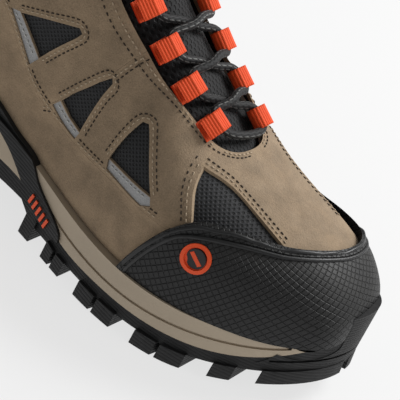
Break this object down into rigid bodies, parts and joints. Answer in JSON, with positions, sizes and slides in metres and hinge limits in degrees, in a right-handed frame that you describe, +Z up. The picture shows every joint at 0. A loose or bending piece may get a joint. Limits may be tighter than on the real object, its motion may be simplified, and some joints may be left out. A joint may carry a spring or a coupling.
{
  "type": "hiking boot",
  "caption": "Right lace-up hiking boot, mid height: suede panels over mesh, rubber toe guard, foam midsole and lugged rubber outsole; tongue, pull loop and footbed move.",
  "frame": {"origin": "centre of the footprint of the whole boot, on the ground", "axes": "+X from heel to toe, +Y towards the medial (inner) side of this right boot, +Z up"},
  "size_m": [0.3154, 0.122, 0.204],
  "materials": {
    "outsole_rubber": "moulded, matte, ribbed walls",
    "midsole_foam": "moulded foam, fine matte skin",
    "shank_steel": "plain spring steel",
    "plate_steel": "thin stainless sheet",
    "board": "pressed fibre board",
    "footbed_foam": "felt-topped foam",
    "lining_mesh": "spacer mesh",
    "foam": "open-cell foam",
    "toe_cap_steel": "dipped steel",
    "counter_board": "thermoplastic sheet",
    "mesh": "coarse black mesh",
    "collar_fabric": "padded textile",
    "suede": "brushed suede",
    "guard_rubber": "moulded scale texture, doubled rim",
    "accent_rubber": "soft moulded orange",
    "tongue_mesh": "padded black mesh",
    "label": "woven, plain",
    "accent_webbing": "ribbed orange webbing",
    "lace_cord": "round braid",
    "aglet_plastic": "smooth",
    "pull_webbing": "ribbed webbing",
    "reflective_tape": "glass-bead tape"
  },
  "bodies": {
    "upper_and_sole": {"outsole": "outsole_rubber", "midsole": "midsole_foam", "shank": "shank_steel", "puncture_plate": "plate_steel", "insole_board": "board", "lining": "lining_mesh", "foam_interlining": "foam", "collar_foam": "foam", "internal_toe_cap": "toe_cap_steel", "heel_counter": "counter_board", "mesh_underlay": "mesh", "collar_cover": "collar_fabric", "heel_panel": "suede", "vamp": "suede", "toe_guard": "guard_rubber", "guard_badge": "accent_rubber", "lace_loops_lateral": "accent_webbing", "lace_loops_medial": "accent_webbing", "lace": "lace_cord", "lace_knot": "lace_cord", "bow_loop_lateral": "lace_cord", "bow_loop_medial": "lace_cord", "lace_end_lateral": "lace_cord", "lace_end_medial": "lace_cord", "aglet_lateral": "aglet_plastic", "aglet_medial": "aglet_plastic", "mudguard_lateral": "suede", "rear_quarter_lateral": "suede", "front_quarter_lateral": "suede", "reflective_strips_lateral": "reflective_tape", "arm_bars_lateral": "accent_rubber", "mudguard_medial": "suede", "rear_quarter_medial": "suede", "front_quarter_medial": "suede", "reflective_strips_medial": "reflective_tape", "arm_bars_medial": "accent_rubber"},
    "footbed_body": {"footbed": "footbed_foam"},
    "tongue_body": {"tongue": "tongue_mesh", "tongue_label": "label"},
    "pull_loop_body": {"pull_loop": "pull_webbing"}
  },
  "joints": [
    {"name": "tongue_flex", "type": "hinge", "parent": "upper_and_sole", "child": "tongue_body", "pos_m": [0.06722, 0.00346, 0.084], "axis": [0, -1, 0], "range_deg": [0, 4], "stiffness_Nm_per_rad": 1.5},
    {"name": "pull_loop_swing", "type": "hinge", "parent": "upper_and_sole", "child": "pull_loop_body", "pos_m": [-0.14878, 0.00346, 0.153], "axis": [0, -1, 0], "range_deg": [0, 50], "stiffness_Nm_per_rad": 0.01},
    {"name": "footbed_lift", "type": "hinge", "parent": "upper_and_sole", "child": "footbed_body", "pos_m": [0.13722, 0.00346, 0.036], "axis": [0, 1, 0], "range_deg": [0, 6]}
  ]
}
